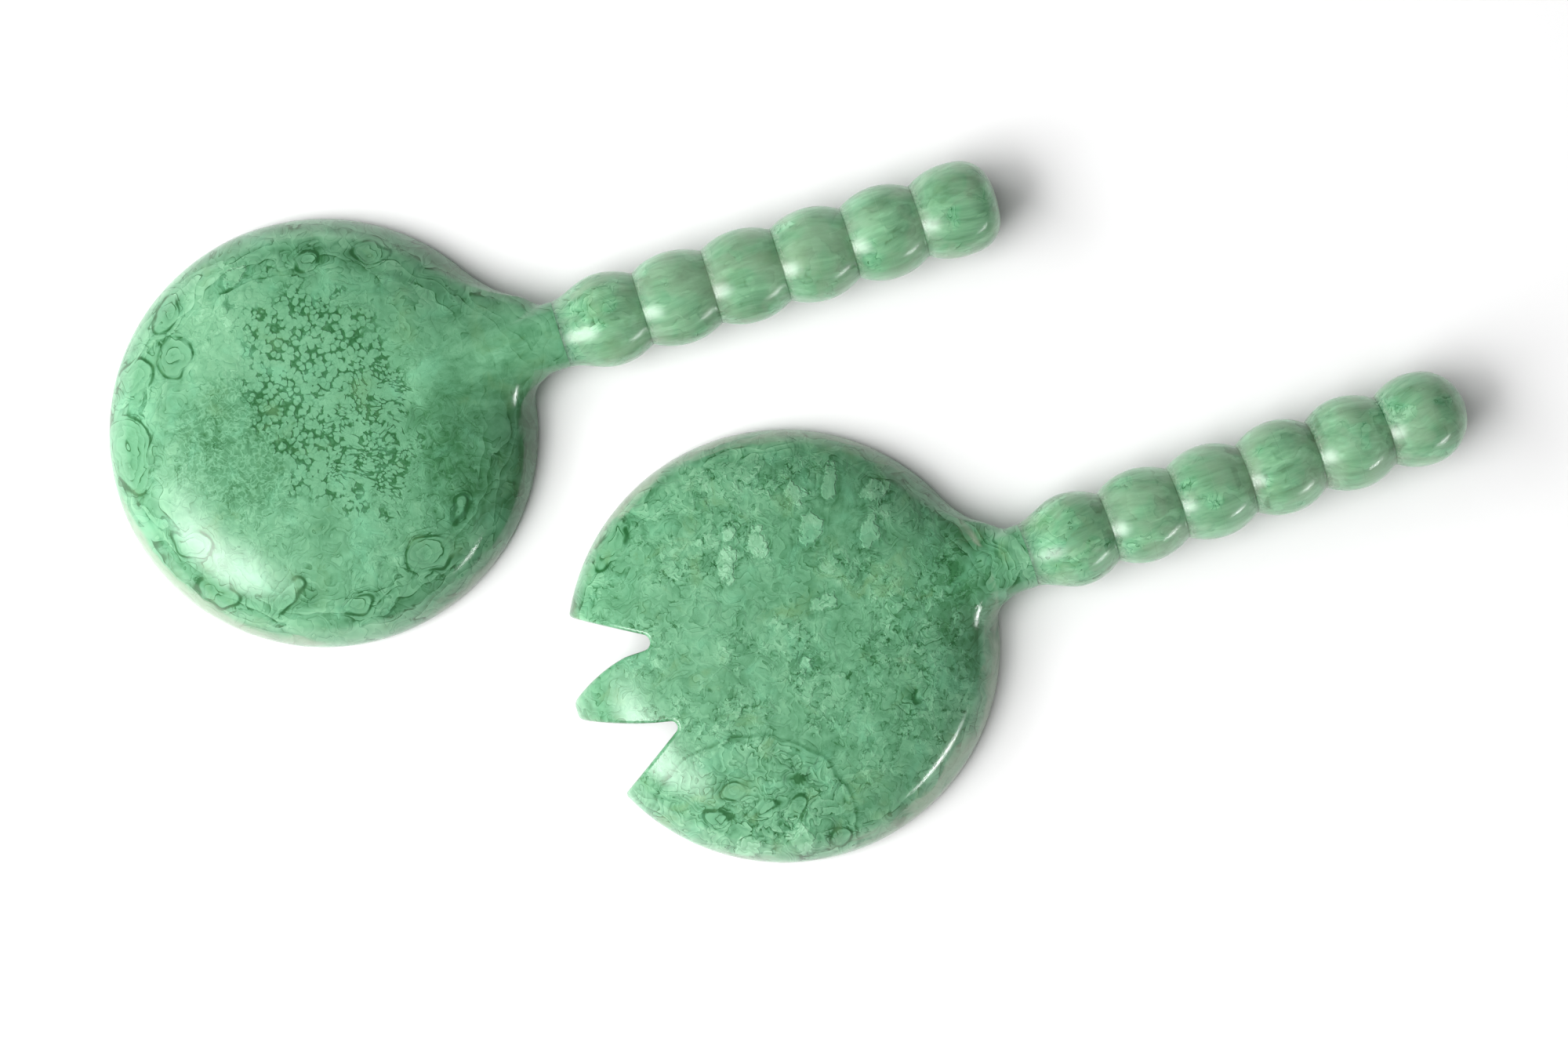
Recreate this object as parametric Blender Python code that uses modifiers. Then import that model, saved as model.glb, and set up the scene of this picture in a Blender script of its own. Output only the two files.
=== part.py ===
"""A pair of cast resin salad servers: a round spoon and a three-tined fork with beaded handles.

Both lie with their backs up. A server's own frame has its head's centre at the origin, its
handle along +X and the table at z = 0. Each server is two castings, a head and a handle, joined
by a spigot on the handle that is glued into a socket in the head's neck.
"""

import math
from dataclasses import dataclass

import bmesh
import bpy
import numpy as np
from mathutils import Matrix

# Heads, in metres.
HEAD_HEIGHT = 0.0235
WALL = 0.0045
RIM_EDGE = 0.0012
DOME_POWER = 3.5
BOWL_POWER = 3.3
DOME_ROWS = 9
HEAD_STEPS = 48

# The joint between head and handle.
SEAM_X = 0.0695
SEAM_GAP = 0.0003
SPIGOT_RADIUS = 0.0040
SPIGOT_LENGTH = 0.0140
SOCKET_CLEARANCE = 0.0003

# The neck, a round bar that is filleted into the dome. The fillet is wide beside the bar on its
# +Y side, tight on its -Y side and slight above it, and it fades out just before the seam.
NECK_START_X = 0.033
FILLET_TOP = 0.004
FILLET_LEAST = 0.0002
FILLET_FADE = 0.009
NECK_FIRST_STATION = 0.022
NECK_STATIONS = 13
NECK_SIDES = 32
NECK_SINK = 0.0005
NECK_FLOOR = 0.0006

# Beaded handles.
BEAD_COUNT = 6
BEAD_ROWS = 4
HANDLE_STEPS = 20

# The fork's middle tine and the two notches beside it.
NOTCH_ROOT_X = -0.0350
NOTCH_ROOT_Y = 0.0119
NOTCH_END_X = -0.0610
OUTER_TINE_CORNER = (-0.0526, 0.0249)
TINE_TIP_X = -0.0577
TINE_ROOT_HALF = 0.0101
TINE_TIP_HALF = 0.0027
NOTCH_ROWS = 8
# Each notch's side of the handle's axis, its root's radius and the bow of its middle tine's side.
FORK_NOTCHES = ((1, 0.0022, 2.0), (-1, 0.0017, 1.25))

# How the fork lies beside the spoon, from the spoon's head centre.
FORK_FORWARD = 0.1009
FORK_SIDEWAYS = -0.0920
FORK_TURN = math.radians(1.7)

CUTTER_REACH = 0.010
MERGE = 0.00002


@dataclass
class Server:
    """The sizes in which the spoon and the fork differ."""

    name: str
    head_radius: float
    handle_offset: float
    neck_radius: float
    fillet_wide: float
    fillet_tight: float
    first_bead: float
    bead_pitch: float
    bead_radius: float
    crease_radius: float
    end_length: float
    end_power: float


SPOON = Server(
    name="spoon",
    head_radius=0.0578,
    handle_offset=0.0055,
    neck_radius=0.0091,
    fillet_wide=0.0195,
    fillet_tight=0.0100,
    first_bead=0.0825,
    bead_pitch=0.0193,
    bead_radius=0.0127,
    crease_radius=0.0098,
    end_length=0.0119,
    end_power=2.8,
)
FORK = Server(
    name="fork",
    head_radius=0.0584,
    handle_offset=0.0018,
    neck_radius=0.0087,
    fillet_wide=0.0160,
    fillet_tight=0.0092,
    first_bead=0.0825,
    bead_pitch=0.0195,
    bead_radius=0.0127,
    crease_radius=0.0094,
    end_length=0.0127,
    end_power=2.1,
)

HEAD_RESIN = {"colour": (0.16, 0.46, 0.27, 1.0), "roughness": 0.16}
HANDLE_RESIN = {"colour": (0.20, 0.46, 0.29, 1.0), "roughness": 0.20}


def clear_scene():
    for obj in list(bpy.data.objects):
        bpy.data.objects.remove(obj, do_unlink=True)


def new_collection(name):
    collection = bpy.data.collections.new(name)
    bpy.context.scene.collection.children.link(collection)
    return collection


def resin(name, look):
    material = bpy.data.materials.new(name)
    material.use_nodes = True
    shader = material.node_tree.nodes["Principled BSDF"]
    shader.inputs["Base Color"].default_value = look["colour"]
    shader.inputs["Roughness"].default_value = look["roughness"]
    shader.inputs["Metallic"].default_value = 0.0
    return material


def new_object(name, mesh, collection, parent):
    obj = bpy.data.objects.new(name, mesh)
    collection.objects.link(obj)
    obj.parent = parent
    return obj


def hide_helper(obj):
    obj.hide_render = True
    obj.display_type = "WIRE"


def profile_object(name, profile, collection, parent, steps):
    """Turns a profile of (radius, height) pairs, outer side first and top to bottom, about Z."""
    mesh = bpy.data.meshes.new(name)
    edges = [(i, i + 1) for i in range(len(profile) - 1)]
    mesh.from_pydata([(r, 0.0, z) for r, z in profile], edges, [])
    obj = new_object(name, mesh, collection, parent)
    screw = obj.modifiers.new("turn", "SCREW")
    screw.axis = "Z"
    screw.angle = 2 * math.pi
    screw.steps = steps
    screw.render_steps = steps
    screw.use_merge_vertices = True
    screw.merge_threshold = MERGE
    screw.use_smooth_shade = True
    return obj


def dome_profile(radius, base, top, power, rows):
    """A quarter of a flattened dome, from its crown down to its upright edge at z = base."""
    profile = []
    for i in range(rows + 1):
        angle = math.pi / 2 * (1 - i / rows)
        r = radius * math.cos(angle) ** (2 / power) if i else 0.0
        profile.append((r, base + (top - base) * math.sin(angle)))
    return profile


def head_blank_profile(server):
    """The filled dome with its rounded outer rim, standing on z = 0."""
    inset = server.head_radius - RIM_EDGE
    profile = dome_profile(server.head_radius, RIM_EDGE, HEAD_HEIGHT, DOME_POWER, DOME_ROWS)
    for degrees in (30, 60, 90):
        angle = math.radians(degrees)
        profile.append((inset + RIM_EDGE * math.cos(angle), RIM_EDGE * (1 - math.sin(angle))))
    profile.append((0.0, 0.0))
    return profile


def bowl_profile(server):
    """The hollow under the dome, which flares where the rim's inner edge is rounded."""
    inner = server.head_radius - WALL
    profile = dome_profile(inner, RIM_EDGE, HEAD_HEIGHT - WALL, BOWL_POWER, DOME_ROWS)
    for degrees in (30, 60, 90):
        angle = math.radians(degrees)
        profile.append((inner + RIM_EDGE * (1 - math.cos(angle)), RIM_EDGE * (1 - math.sin(angle))))
    profile.append((inner + RIM_EDGE, -CUTTER_REACH))
    profile.append((0.0, -CUTTER_REACH))
    return profile


def dome_distance(server, x, y, z):
    """About how far a point is outside the dome: its implicit form divided by its slope."""
    radius = np.hypot(x, y)
    rise = np.maximum(z - RIM_EDGE, 0.0) / (HEAD_HEIGHT - RIM_EDGE)
    ratio = radius / server.head_radius
    value = ratio**DOME_POWER + rise**2 - 1
    slope_out = DOME_POWER * ratio ** (DOME_POWER - 1) / server.head_radius
    slope_up = 2 * rise / (HEAD_HEIGHT - RIM_EDGE)
    return value / np.maximum(np.hypot(slope_out, slope_up), 1.0)


def neck_distance(server, x, y, z):
    """How far a point is outside the round bar that starts inside the dome."""
    behind = np.minimum(x - NECK_START_X, 0.0)
    across = y - server.handle_offset
    height = z - server.bead_radius
    return np.sqrt(behind**2 + across**2 + height**2) - server.neck_radius


def fillet_radius(server, x, y, z):
    """The fillet's radius, which changes round the bar and fades out towards the seam."""
    across = y - server.handle_offset
    height = z - server.bead_radius
    upward = np.maximum(height, 0.0) / np.maximum(np.hypot(across, height), 1e-6)
    side = np.clip(across / server.neck_radius, -1, 1) / 2 + 0.5
    radius = server.fillet_tight + (server.fillet_wide - server.fillet_tight) * side
    radius = radius + (FILLET_TOP - radius) * upward
    fade = np.clip((SEAM_X - x) / FILLET_FADE, 0, 1)
    return FILLET_LEAST + radius * fade * (2 - fade)


def head_distance(server, x, y, z):
    """Dome and bar joined by a round fillet."""
    dome = dome_distance(server, x, y, z)
    bar = neck_distance(server, x, y, z)
    radius = fillet_radius(server, x, y, z)
    corner = np.hypot(np.maximum(radius - dome, 0.0), np.maximum(radius - bar, 0.0))
    return np.maximum(radius, np.minimum(dome, bar)) - corner


def neck_section(server, x, sink):
    """A ring of points round the bar's axis, just inside the blended surface by sink."""
    angle = np.arange(NECK_SIDES) * 2 * math.pi / NECK_SIDES
    near = np.zeros(NECK_SIDES)
    far = np.full(NECK_SIDES, 2 * server.head_radius)
    for _ in range(40):
        middle = (near + far) / 2
        y = server.handle_offset + middle * np.cos(angle)
        z = server.bead_radius + middle * np.sin(angle)
        outside = (head_distance(server, x, y, z) > -sink) | (z < NECK_FLOOR)
        far = np.where(outside, middle, far)
        near = np.where(outside, near, middle)
    y = server.handle_offset + near * np.cos(angle)
    z = server.bead_radius + near * np.sin(angle)
    return [(x, float(a), float(b)) for a, b in zip(y, z)]


def neck_object(server, collection, parent):
    """The neck and its fillets, lofted from broad sections in the dome to a round end."""
    form = bmesh.new()
    rings = []
    for i in range(NECK_STATIONS):
        part = i / (NECK_STATIONS - 1)
        x = NECK_FIRST_STATION + (SEAM_X - NECK_FIRST_STATION) * part
        section = neck_section(server, x, NECK_SINK * (1 - part))
        rings.append([form.verts.new(point) for point in section])
    for ring, following in zip(rings, rings[1:]):
        for j in range(NECK_SIDES):
            k = (j + 1) % NECK_SIDES
            form.faces.new((ring[j], ring[k], following[k], following[j]))
    form.faces.new(rings[0][::-1])
    form.faces.new(rings[-1])
    bmesh.ops.recalc_face_normals(form, faces=form.faces)
    mesh = bpy.data.meshes.new(f"{server.name}_neck_form")
    form.to_mesh(mesh)
    form.free()
    neck = new_object(mesh.name, mesh, collection, parent)
    hide_helper(neck)
    return neck


def socket_object(server, collection, parent):
    """The round hole in the neck that takes the handle's spigot."""
    form = bmesh.new()
    radius = SPIGOT_RADIUS + SOCKET_CLEARANCE
    bmesh.ops.create_cone(
        form,
        cap_ends=True,
        segments=HANDLE_STEPS,
        radius1=radius,
        radius2=radius,
        depth=SPIGOT_LENGTH + CUTTER_REACH,
    )
    mesh = bpy.data.meshes.new(f"{server.name}_socket_cutter")
    form.to_mesh(mesh)
    form.free()
    socket = new_object(mesh.name, mesh, collection, parent)
    socket.rotation_euler = (0, math.pi / 2, 0)
    middle = SEAM_X + (CUTTER_REACH - SPIGOT_LENGTH) / 2
    socket.location = (middle, server.handle_offset, server.bead_radius)
    hide_helper(socket)
    return socket


def notch_outline(side, root_radius, bow):
    """One notch beside the middle tine: a straight side, a round root and a side bowed by a power."""
    corner_x, corner_y = OUTER_TINE_CORNER
    slope = (corner_y - NOTCH_ROOT_Y - root_radius) / (corner_x - NOTCH_ROOT_X)
    outer_y = corner_y + slope * (NOTCH_END_X - corner_x)
    outline = [(NOTCH_END_X, outer_y)]
    for degrees in range(60, -91, -30):
        angle = math.radians(degrees)
        x = NOTCH_ROOT_X + root_radius * math.cos(angle)
        outline.append((x, NOTCH_ROOT_Y + root_radius * math.sin(angle)))
    last_y = outline[-1][1]
    for i in range(1, NOTCH_ROWS + 1):
        x = NOTCH_ROOT_X + (NOTCH_END_X - NOTCH_ROOT_X) * i / NOTCH_ROWS
        along = (x - NOTCH_ROOT_X) / (TINE_TIP_X - NOTCH_ROOT_X)
        half = TINE_ROOT_HALF - (TINE_ROOT_HALF - TINE_TIP_HALF) * along**bow
        outline.append((x, min(half, last_y)))
    return [(x, side * y) for x, y in outline]


def notch_object(server, side, root_radius, bow, collection, parent):
    """The upright prism that cuts one notch through the head."""
    curve = bpy.data.curves.new(f"{server.name}_notch_outline", "CURVE")
    curve.dimensions = "2D"
    curve.fill_mode = "BOTH"
    curve.extrude = HEAD_HEIGHT / 2 + CUTTER_REACH
    outline = notch_outline(side, root_radius, bow)
    spline = curve.splines.new("POLY")
    spline.points.add(len(outline) - 1)
    for point, (x, y) in zip(spline.points, outline):
        point.co = (x, y, 0, 1)
    spline.use_cyclic_u = True
    guide = new_object(curve.name, curve, collection, parent)
    guide.location = (0, server.handle_offset, HEAD_HEIGHT / 2)
    bpy.context.view_layer.update()
    mesh = bpy.data.meshes.new_from_object(guide.evaluated_get(bpy.context.evaluated_depsgraph_get()))
    mesh.name = f"{server.name}_notch_cutter"
    form = bmesh.new()
    form.from_mesh(mesh)
    bmesh.ops.remove_doubles(form, verts=form.verts, dist=MERGE)
    bmesh.ops.recalc_face_normals(form, faces=form.faces)
    form.to_mesh(mesh)
    form.free()
    notch = new_object(mesh.name, mesh, collection, parent)
    notch.matrix_local = guide.matrix_local
    bpy.data.objects.remove(guide, do_unlink=True)
    hide_helper(notch)
    return notch


def combine(obj, other, operation):
    boolean = obj.modifiers.new(other.name, "BOOLEAN")
    boolean.operation = operation
    boolean.solver = "EXACT"
    boolean.object = other


def head(server, notches, look, parts, cutters, parent):
    """The head casting: a domed shell with a solid neck, and the fork's notches."""
    obj = profile_object(
        f"{server.name}_head", head_blank_profile(server), parts, parent, HEAD_STEPS
    )
    obj.data.materials.append(resin(f"{server.name}_head_resin", look))
    combine(obj, neck_object(server, cutters, parent), "UNION")
    bowl = profile_object(
        f"{server.name}_bowl_cutter", bowl_profile(server), cutters, parent, HEAD_STEPS
    )
    hide_helper(bowl)
    combine(obj, bowl, "DIFFERENCE")
    combine(obj, socket_object(server, cutters, parent), "DIFFERENCE")
    for notch in notches:
        combine(obj, notch_object(server, *notch, cutters, parent), "DIFFERENCE")
    return obj


def bead_radius_at(server, along):
    """The handle's radius at a distance from the nearest bead's centre, within half a pitch."""
    half = server.bead_pitch / 2
    drop = server.bead_radius - server.crease_radius
    arc = (half**2 + drop**2) / (2 * drop)
    return server.bead_radius - arc + math.sqrt(arc**2 - along**2)


def first_bead_radius(server, share):
    """The first bead's neck side: share runs from 0 at the seam to 1 at the bead's centre."""
    rise = (1 - math.cos(math.pi * share)) / 2
    return server.neck_radius + (server.bead_radius - server.neck_radius) * rise**0.8


def handle_profile(server):
    """The handle's turned profile from its round end down to the seam and the spigot's foot."""
    seam = SEAM_X + SEAM_GAP
    start = server.first_bead - seam
    last_bead = start + (BEAD_COUNT - 1) * server.bead_pitch
    profile = []
    for i in range(BEAD_ROWS + 1):
        angle = math.pi / 2 * (1 - i / BEAD_ROWS)
        r = server.bead_radius * math.cos(angle) ** (2 / server.end_power) if i else 0.0
        profile.append((r, last_bead + server.end_length * math.sin(angle) ** (2 / server.end_power)))
    for bead in reversed(range(1, BEAD_COUNT)):
        for i in range(1, 2 * BEAD_ROWS + 1):
            along = server.bead_pitch * i / (2 * BEAD_ROWS)
            nearest = min(along, server.bead_pitch - along)
            profile.append((bead_radius_at(server, nearest), start + bead * server.bead_pitch - along))
    for i in range(1, BEAD_ROWS + 1):
        share = 1 - i / BEAD_ROWS
        profile.append((first_bead_radius(server, share), start * share))
    profile.append((SPIGOT_RADIUS, 0.0))
    profile.append((SPIGOT_RADIUS, -SPIGOT_LENGTH + SOCKET_CLEARANCE))
    profile.append((0.0, -SPIGOT_LENGTH + SOCKET_CLEARANCE))
    return profile


def handle(server, look, parts, parent):
    """The handle casting: six beads that run into each other, and the spigot."""
    obj = profile_object(
        f"{server.name}_handle", handle_profile(server), parts, parent, HANDLE_STEPS
    )
    obj.data.materials.append(resin(f"{server.name}_handle_resin", look))
    obj.rotation_euler = (0, math.pi / 2, 0)
    obj.location = (SEAM_X + SEAM_GAP, server.handle_offset, server.bead_radius)
    return obj


def handle_tip(server):
    return server.first_bead + (BEAD_COUNT - 1) * server.bead_pitch + server.end_length


def layout():
    """Where the two heads' centres go, so that the pair's box is centred on the origin."""
    reach_x = handle_tip(FORK) * math.cos(FORK_TURN) - FORK.handle_offset * math.sin(FORK_TURN)
    right = FORK_FORWARD + reach_x
    left = -SPOON.head_radius
    back = SPOON.head_radius
    front = FORK_SIDEWAYS - FORK.head_radius
    spoon_at = (-(left + right) / 2, -(back + front) / 2, 0.0)
    fork_at = (spoon_at[0] + FORK_FORWARD, spoon_at[1] + FORK_SIDEWAYS, 0.0)
    return spoon_at, fork_at


def place(name, location, turn, collection):
    frame = bpy.data.objects.new(name, None)
    collection.objects.link(frame)
    frame.matrix_world = Matrix.Translation(location) @ Matrix.Rotation(turn, 4, "Z")
    return frame


def main():
    clear_scene()
    parts = new_collection("salad_servers")
    cutters = new_collection("cutters")
    spoon_at, fork_at = layout()
    spoon_frame = place("spoon_frame", spoon_at, 0.0, parts)
    fork_frame = place("fork_frame", fork_at, FORK_TURN, parts)
    head(SPOON, (), HEAD_RESIN, parts, cutters, spoon_frame)
    handle(SPOON, HANDLE_RESIN, parts, spoon_frame)
    head(FORK, FORK_NOTCHES, HEAD_RESIN, parts, cutters, fork_frame)
    handle(FORK, HANDLE_RESIN, parts, fork_frame)


main()
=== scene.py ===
"""The looks of a pair of cast resin salad servers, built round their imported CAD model.

A server's own frame has its head's centre at the origin, its handle along +X and the table at
z = 0. Each casting is meshed in that frame and placed with its server. Lengths are in metres,
and in millimetres inside the materials.
"""

import math
from dataclasses import dataclass

import bpy
import numpy as np
from mathutils import Matrix, Vector

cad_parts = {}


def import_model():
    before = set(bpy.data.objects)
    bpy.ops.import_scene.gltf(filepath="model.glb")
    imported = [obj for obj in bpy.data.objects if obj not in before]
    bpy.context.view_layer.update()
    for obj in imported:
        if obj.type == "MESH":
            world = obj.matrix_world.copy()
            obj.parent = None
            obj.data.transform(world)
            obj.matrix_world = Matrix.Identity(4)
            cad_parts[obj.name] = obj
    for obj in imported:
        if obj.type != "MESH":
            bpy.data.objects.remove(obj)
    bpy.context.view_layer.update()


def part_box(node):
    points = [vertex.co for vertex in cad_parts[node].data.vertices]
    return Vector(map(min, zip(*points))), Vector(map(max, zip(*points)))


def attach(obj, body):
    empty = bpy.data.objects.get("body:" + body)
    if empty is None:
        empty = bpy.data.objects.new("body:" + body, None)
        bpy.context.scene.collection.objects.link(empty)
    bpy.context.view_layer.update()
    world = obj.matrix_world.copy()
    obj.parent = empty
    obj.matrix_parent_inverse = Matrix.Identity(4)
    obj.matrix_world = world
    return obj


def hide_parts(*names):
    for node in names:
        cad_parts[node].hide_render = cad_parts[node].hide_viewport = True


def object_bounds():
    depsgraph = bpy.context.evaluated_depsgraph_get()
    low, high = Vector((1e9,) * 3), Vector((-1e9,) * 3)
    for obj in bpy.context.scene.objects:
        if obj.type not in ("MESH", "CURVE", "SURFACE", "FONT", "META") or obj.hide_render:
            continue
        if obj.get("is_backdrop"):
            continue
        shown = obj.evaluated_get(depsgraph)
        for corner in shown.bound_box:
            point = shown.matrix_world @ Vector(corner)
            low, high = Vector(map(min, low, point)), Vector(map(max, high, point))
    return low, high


MM = 0.001

# Heads and the joints in their necks, as in the CAD model.
HEAD_HEIGHT = 0.0235
WALL = 0.0045
RIM_EDGE = 0.0012
DOME_POWER = 3.5
BOWL_POWER = 3.3
SEAM_X = 0.0695
SPIGOT_RADIUS = 0.0040
SPIGOT_LENGTH = 0.0140
SPIGOT_EDGE = 0.0003
SOCKET_CLEARANCE = 0.0003
NECK_START_X = 0.033
FILLET_TOP = 0.004
FILLET_LEAST = 0.0002
FILLET_FADE = 0.009

# The fork's tines and notches, as in the CAD model.
NOTCH_ROOT_X = -0.0350
NOTCH_ROOT_Y = 0.0119
NOTCH_END_X = -0.0610
OUTER_TINE_CORNER = (-0.0526, 0.0249)
TINE_TIP_X = -0.0577
TINE_ROOT_HALF = 0.0101
TINE_TIP_HALF = 0.0027
ROOT_FIRST_ANGLE = 60
ROOT_SWEEP = 150
NOTCH_POINTS = 40
ROOT_POINTS = 16
# A notch's distance is only worked out this near to it.
NOTCH_NEAR_X = 0.008
NOTCH_NEAR_Y = 0.003

# What only the looks have: a finer seam, rounded edges, and the unevenness of hand finishing.
SEAM_GAP = 0.00003
SEAM_EDGE = 0.00006
TINE_EDGE = 0.0009
CREASE_EDGE = 0.00022
CREASE_VARIATION = 0.0003
HAND_WAVE = 0.00005
WAVE_FADE = 0.006
SMALLEST_DENTED = 0.003

# Handles.
BEAD_COUNT = 6
NECK_RISE_POWER = 0.8

# Meshes.
HEAD_STEP = 0.00063
RELAX_ROUNDS = 3
SETTLE_ROUNDS = 3
SLOPE_REACH = 0.00002
HANDLE_SIDES = 128
ROWS_PER_BEAD = 44
END_ROW_SPREAD = 0.8

# Stands for "far from any crease".
NO_CREASE = 0.01

# Where the fork lies from the spoon, in the spoon's own frame.
FORK_FORWARD = 0.1009
FORK_SIDEWAYS = -0.0920
FORK_TURN = math.radians(1.7)

# The camera looks straight down, and +X lies a little anticlockwise from its right.
CAMERA_HEIGHT = 1.05
CAMERA_X = -0.0068
CAMERA_Y = -0.0140
CAMERA_ROLL = math.radians(-17.5)
VIEW_WIDTH = 0.4234
SENSOR = 36.0

TABLE_HALF = 3.0
TABLE_DROP = 0.0002
LIGHT_DISTANCE = 1.6
WORLD_STRENGTH = 0.18

# A pattern's region is ((x, y) of its centre, (half lengths), turn), in millimetres and degrees.
NOWHERE = ((0.0, -200.0), (1, 1), 0)


@dataclass
class Server:
    """The sizes and the marbling in which the spoon and the fork differ."""

    name: str
    head_radius: float
    handle_offset: float
    neck_radius: float
    fillet_wide: float
    fillet_tight: float
    first_bead: float
    bead_pitch: float
    bead_radius: float
    crease_radius: float
    end_length: float
    end_power: float
    # (side, root radius, power of the middle tine's bow) of each notch.
    notches: tuple
    crease_seed: int
    head_phase: float
    handle_phase: float

    # The bands at the rim are rim_width millimetres wide. Their pigment is sparse by rim_least,
    # and by more in windows: (angle round the head, spread, amount). Places are as NOWHERE is.
    rim_width: float
    rim_least: float
    rim_windows: tuple
    eyes: tuple
    clots: tuple
    pour: tuple
    pale_region: tuple
    pale_lift: float
    grain_region: tuple
    fine_region: tuple
    net_region: tuple
    calm_region: tuple
    # Where shade is painted, on the side of the head turned from the lamps.
    shaded_side_region: tuple

    # How strong each kind of pigment is, and how far its pattern is shifted.
    crumble: float
    fold: float
    olive: float
    streaks: float
    flakes: float
    pattern_shift: tuple


SPOON = Server(
    name="spoon",
    head_radius=0.0578,
    handle_offset=0.0055,
    neck_radius=0.0091,
    fillet_wide=0.0195,
    fillet_tight=0.0100,
    first_bead=0.0825,
    bead_pitch=0.0193,
    bead_radius=0.0127,
    crease_radius=0.0098,
    end_length=0.0119,
    end_power=2.8,
    notches=(),
    crease_seed=7,
    head_phase=1.3,
    handle_phase=0.7,
    rim_width=26,
    rim_least=0.1,
    rim_windows=((215, 32, 1.0), (-65, 20, 0.7)),
    eyes=(
        ((-49.4, 11.3), (10.5, 6.6), 80),
        ((-42.7, 28.0), (7.0, 4.8), 60),
        ((-29.6, 30.6), (4.6, 4.6), 0),
        ((-28.9, 42.8), (4.6, 3.2), 50),
        ((29.4, -31.8), (3.6, 2.4), 40),
        ((17.9, -40.3), (6.4, 4.4), 10),
        ((-2.9, -47.2), (4.0, 2.4), 15),
        ((-22.4, -40.2), (3.8, 1.8), 30),
        ((-37.7, -33.2), (5.0, 2.0), -45),
        ((12.2, 44.5), (2.8, 2.2), 20),
        ((27.4, 40.5), (4.4, 2.4), -15),
        ((-41.8, -18.2), (6.0, 3.2), -50),
    ),
    clots=(((-8.0, 46.0), (2.6, 1.8), 20),),
    pour=NOWHERE,
    pale_region=((-17.0, 33.0), (19, 15), 0),
    pale_lift=0.16,
    grain_region=((6.0, 7.0), (18, 32), 12),
    fine_region=((19.0, -8.0), (17, 20), 0),
    net_region=((-21.0, 2.0), (15, 19), 0),
    calm_region=((54.0, 3.0), (22, 16), 0),
    shaded_side_region=((44.0, -24.0), (18, 26), 30),
    crumble=0.5,
    fold=0.5,
    olive=0.4,
    streaks=0.15,
    flakes=0.3,
    pattern_shift=(0.0, 0.0, 0.0),
)
FORK = Server(
    name="fork",
    head_radius=0.0584,
    handle_offset=0.0018,
    neck_radius=0.0087,
    fillet_wide=0.0160,
    fillet_tight=0.0092,
    first_bead=0.0825,
    bead_pitch=0.0195,
    bead_radius=0.0127,
    crease_radius=0.0094,
    end_length=0.0127,
    end_power=2.1,
    notches=((1, 0.0022, 2.0), (-1, 0.0017, 1.25)),
    crease_seed=19,
    head_phase=4.1,
    handle_phase=2.9,
    rim_width=12,
    rim_least=0.5,
    rim_windows=((-50, 40, 0.95), (100, 40, 0.8)),
    eyes=(
        ((38.9, -10.4), (2.0, 1.8), 0),
        ((30.0, -23.0), (4.0, 2.0), 40),
        ((-24.7, -30.9), (2.0, 1.4), 0),
        ((-17.0, -38.1), (2.2, 1.2), 20),
        ((-9.7, -40.8), (2.4, 1.0), 30),
        ((-6.0, -32.8), (2.0, 1.2), 20),
        ((-32.0, -37.0), (2.4, 1.6), 0),
        ((-2.9, -52.3), (2.2, 1.4), 0),
        ((-33.0, 42.0), (6.0, 2.4), 45),
    ),
    clots=(
        ((16.1, 37.3), (3.0, 1.9), 60),
        ((26.0, 37.6), (3.8, 1.4), 60),
        ((37.3, 31.6), (3.6, 2.4), -10),
        ((17.1, 28.5), (4.6, 2.6), 70),
        ((31.8, 21.7), (4.8, 2.0), 65),
        ((2.5, 28.3), (4.6, 2.4), 75),
        ((-3.7, 32.9), (1.5, 1.5), 0),
        ((-6.5, 26.1), (3.6, 2.0), 60),
        ((-11.9, -50.0), (3.0, 3.6), 0),
        ((-26.4, -47.4), (3.0, 2.4), 30),
        ((14.0, 8.0), (2.6, 1.4), 20),
        ((4.0, -6.0), (2.0, 1.6), 0),
    ),
    pour=((-24.0, -44.0), (28, 26), 0),
    pale_region=((-16.0, 22.0), (26, 22), 60),
    pale_lift=0.06,
    grain_region=NOWHERE,
    fine_region=NOWHERE,
    net_region=NOWHERE,
    calm_region=((25.0, 30.0), (9, 6), 60),
    shaded_side_region=((52.0, -6.0), (10, 22), 0),
    crumble=1.0,
    fold=0.6,
    olive=0.7,
    streaks=0.6,
    flakes=1.0,
    pattern_shift=(310.0, 170.0, 40.0),
)


# Shapes ---------------------------------------------------------------------------------------


def round_intersection(radius, *distances):
    """Where all the forms overlap, with the edges between them rounded."""
    past = [np.maximum(distance + radius, 0.0) for distance in distances]
    corner = np.sqrt(sum(p**2 for p in past))
    deepest = distances[0]
    for distance in distances[1:]:
        deepest = np.maximum(deepest, distance)
    return np.minimum(deepest + radius, 0.0) + corner - radius


def dome_form(x, y, z, edge_radius, top, power):
    """About how far a point is outside a flattened dome that stands on an upright edge."""
    radius = np.hypot(x, y)
    rise = np.maximum(z - RIM_EDGE, 0.0) / (top - RIM_EDGE)
    ratio = radius / edge_radius
    value = ratio**power + rise**2 - 1
    slope_out = power * ratio ** (power - 1) / edge_radius
    slope_up = 2 * rise / (top - RIM_EDGE)
    return value / np.maximum(np.hypot(slope_out, slope_up), 1.0)


def neck_distance(server, x, y, z):
    """How far a point is outside the round bar that starts inside the dome."""
    behind = np.minimum(x - NECK_START_X, 0.0)
    across = y - server.handle_offset
    height = z - server.bead_radius
    return np.sqrt(behind**2 + across**2 + height**2) - server.neck_radius


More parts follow.
